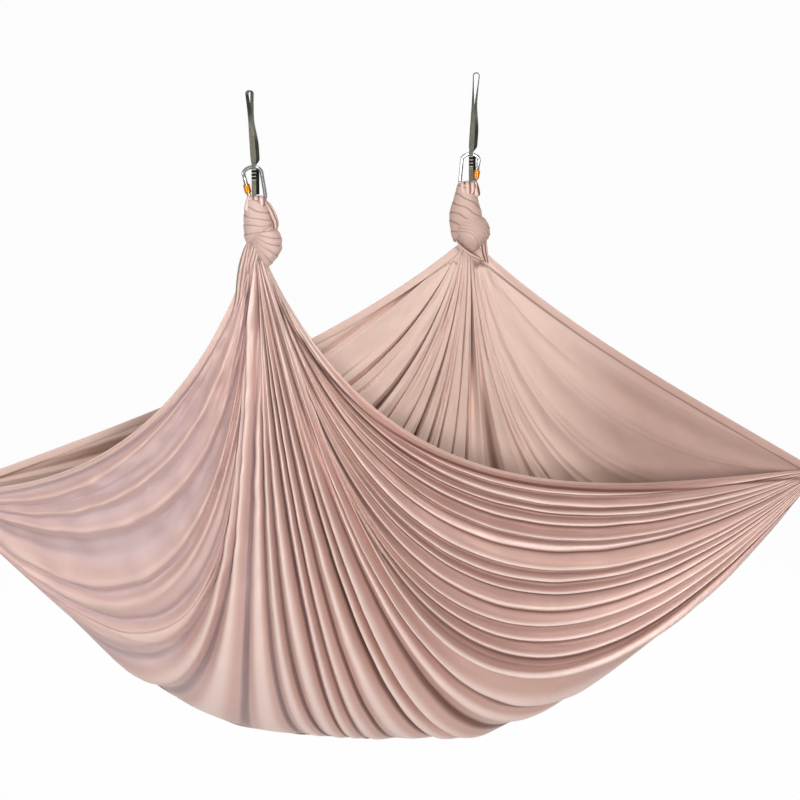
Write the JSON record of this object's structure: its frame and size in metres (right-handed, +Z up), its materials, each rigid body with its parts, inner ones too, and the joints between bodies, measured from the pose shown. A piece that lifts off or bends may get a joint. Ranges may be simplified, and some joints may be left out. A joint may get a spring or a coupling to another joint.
{
  "type": "aerial yoga hammock",
  "caption": "Gathered cloth hammock knotted on two locking snap links that hang from twisted webbing straps, open along the top like a boat.",
  "frame": {"origin": "inside top of the near strap's upper loop, where its ceiling hook bears", "axes": "+X right along the hammock's long side, +Y away from the viewer towards the far strap, +Z up"},
  "size_m": [2.3817, 0.6371, 1.8185],
  "materials": {
    "webbing": "flat olive grey webbing",
    "webbing_dark": "near black webbing",
    "tack_thread": "dense light grey stitching",
    "polished_metal": "polished",
    "pin_steel": "plain",
    "orange_sleeve": "orange anodised, knurled",
    "rose_satin": "dusty rose satin tricot, matt inside"
  },
  "bodies": {
    "ceiling_straps": {"near_strap_webbing": "webbing", "far_strap_webbing": "webbing"},
    "hammock": {"front_panel": "rose_satin", "rear_panel": "rose_satin", "near_fabric_loop": "rose_satin", "near_fabric_knot": "rose_satin", "near_carabiner_frame": "polished_metal", "near_hinge_pin": "pin_steel", "near_strap_tail": "webbing", "near_rear_strap_tail": "webbing_dark", "near_strap_pockets": "webbing_dark", "near_bar_tack_1": "tack_thread", "near_bar_tack_2": "tack_thread", "near_bar_tack_3": "tack_thread", "near_bar_tack_4": "tack_thread", "far_fabric_loop": "rose_satin", "far_fabric_knot": "rose_satin", "far_carabiner_frame": "polished_metal", "far_hinge_pin": "pin_steel", "far_strap_tail": "webbing", "far_rear_strap_tail": "webbing_dark", "far_strap_pockets": "webbing_dark", "far_bar_tack_1": "tack_thread", "far_bar_tack_2": "tack_thread", "far_bar_tack_3": "tack_thread", "far_bar_tack_4": "tack_thread"},
    "near_gate": {"near_gate": "polished_metal", "near_latch_pin": "pin_steel", "near_gate_spring": "pin_steel"},
    "near_plunger": {"near_spring_plunger": "pin_steel"},
    "near_lock": {"near_lock_sleeve": "orange_sleeve"},
    "far_gate": {"far_gate": "polished_metal", "far_latch_pin": "pin_steel", "far_gate_spring": "pin_steel"},
    "far_plunger": {"far_spring_plunger": "pin_steel"},
    "far_lock": {"far_lock_sleeve": "orange_sleeve"}
  },
  "joints": [
    {"name": "hammock_swing", "type": "hinge", "parent": "ceiling_straps", "child": "hammock", "pos_m": [0.01, 0, -0.197], "axis": [0.7229, 0.6902, -0.0326], "range_deg": [-20, 20]},
    {"name": "near_gate_hinge", "type": "hinge", "parent": "hammock", "child": "near_gate", "pos_m": [-0.00171, 0, -0.2781], "axis": [0, 1, 0], "range_deg": [0, 25], "stiffness_Nm_per_rad": 0.3, "springref_deg": -11.46},
    {"name": "near_plunger_slide", "type": "slide", "parent": "near_gate", "child": "near_plunger", "axis": [-0.2436, 0, 0.9699], "range_m": [0, 0.00102], "deforming": ["near_gate_spring"]},
    {"name": "near_lock_slide", "type": "slide", "parent": "near_gate", "child": "near_lock", "axis": [0.2436, 0, -0.9699], "range_m": [-0.023, 0]},
    {"name": "far_gate_hinge", "type": "hinge", "parent": "hammock", "child": "far_gate", "pos_m": [0.59719, 0.55, -0.30311], "axis": [0, -1, 0], "range_deg": [0, 25], "stiffness_Nm_per_rad": 0.3, "springref_deg": -11.46},
    {"name": "far_plunger_slide", "type": "slide", "parent": "far_gate", "child": "far_plunger", "axis": [0.1754, 0, 0.9845], "range_m": [0, 0.00102], "deforming": ["far_gate_spring"]},
    {"name": "far_lock_slide", "type": "slide", "parent": "far_gate", "child": "far_lock", "axis": [-0.1754, 0, -0.9845], "range_m": [-0.023, 0]}
  ],
  "couplings": [
    {"joint": "near_plunger_slide", "follows": "near_gate_hinge", "m_per_rad": 0.0022918},
    {"joint": "far_plunger_slide", "follows": "far_gate_hinge", "m_per_rad": 0.0022918}
  ]
}
